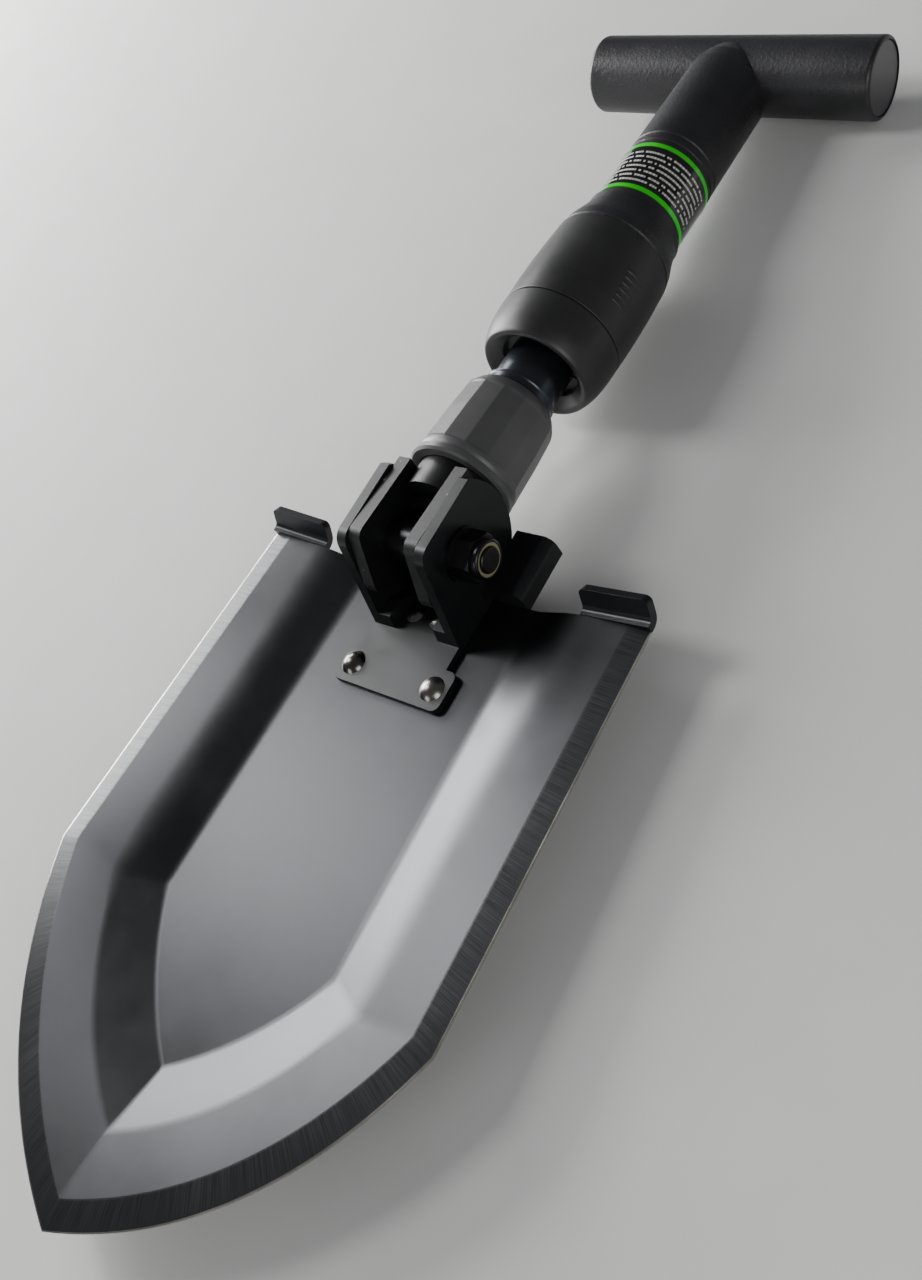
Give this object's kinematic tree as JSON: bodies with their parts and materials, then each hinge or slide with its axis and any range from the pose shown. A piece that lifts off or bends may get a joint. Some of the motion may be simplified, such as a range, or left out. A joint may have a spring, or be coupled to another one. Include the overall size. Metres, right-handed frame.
{
  "type": "folding camp shovel",
  "caption": "Folding camp shovel with a pointed dished blade, step tabs, hinge with locking nut, telescoping shaft with a twist collar, and a T handle.",
  "frame": {"origin": "bottom centre of the bounding box, with the shovel open and lying on its back", "axes": "+X across the blade, +Y along the shovel towards the T handle, +Z out of the blade's hollow front face"},
  "size_m": [0.155, 0.425, 0.0451],
  "materials": {
    "blade_steel": "satin dark gunmetal powder coat, ground steel at the edges",
    "hinge_paint": "semi-gloss black powder coat",
    "rivet_steel": "bare domed steel",
    "black_zinc": "black zinc plate, slight sheen",
    "nylon_insert": "yellowish locking nylon",
    "fork_paint": "black paint over cast steel, chipped at the web",
    "dark_tube": "polished black oxide",
    "inner_plastic": "plain black moulding",
    "nut_grey": "satin mid grey, cast and lightly textured",
    "brass_liner": "plain turned",
    "grip_rubber": "soft-touch overmoulding, satin",
    "handle_nylon": "glass-filled nylon with a leather grain",
    "tube_alloy": "drawn tube",
    "band_black": "glossy printed sleeve",
    "band_green": "vivid green stripe",
    "cap_plastic": "smooth grey cap"
  },
  "bodies": {
    "lower_shaft": {"hinge_fork": "fork_paint", "pivot_spacer": "black_zinc", "threaded_sleeve": "dark_tube", "fork_pin": "rivet_steel", "inner_tube": "dark_tube", "tube_bush": "inner_plastic", "tube_plug": "inner_plastic"},
    "blade": {"blade": "blade_steel", "blade_bracket": "hinge_paint", "bracket_rivets": "rivet_steel", "hammer_lug": "hinge_paint", "pivot_bolt": "black_zinc", "pivot_washers": "black_zinc", "pivot_nut": "black_zinc", "pivot_nut_ring": "nylon_insert"},
    "nut_seat": {"nut_seat_ring": "nut_grey"},
    "locking_nut": {"locking_nut": "nut_grey", "nut_liner": "brass_liner"},
    "handle": {"handle_shell": "handle_nylon", "outer_tube": "tube_alloy", "handle_screw": "black_zinc", "lock_collet": "inner_plastic", "retaining_ring": "rivet_steel", "label_band": "band_black", "band_stripes": "band_green", "end_cap_right": "cap_plastic", "end_cap_left": "cap_plastic"},
    "collar": {"collar_core": "inner_plastic", "collar_bezel": "grip_rubber", "collar_grip": "grip_rubber"}
  },
  "joints": [
    {"name": "blade_fold", "type": "hinge", "parent": "lower_shaft", "child": "blade", "pos_m": [0, -0.00858, 0.02911], "axis": [-1, 0, 0], "range_deg": [0, 180]},
    {"name": "nut_turn", "type": "hinge", "parent": "nut_seat", "child": "locking_nut", "pos_m": [0, -0.00858, 0.02911], "axis": [0, 0.9984, -0.0565], "range_deg": [0, 600]},
    {"name": "nut_travel", "type": "slide", "parent": "lower_shaft", "child": "nut_seat", "axis": [0, 0.9984, -0.0565], "range_m": [0, 0.005]},
    {"name": "handle_slide", "type": "slide", "parent": "lower_shaft", "child": "handle", "axis": [0, 0.9984, -0.0565], "range_m": [0, 0.055]},
    {"name": "collar_turn", "type": "hinge", "parent": "handle", "child": "collar", "pos_m": [0, -0.00858, 0.02911], "axis": [0, 0.9984, -0.0565], "range_deg": [0, 90]}
  ],
  "couplings": [
    {"joint": "nut_turn", "follows": "nut_travel", "rad_per_m": 2094.4}
  ]
}
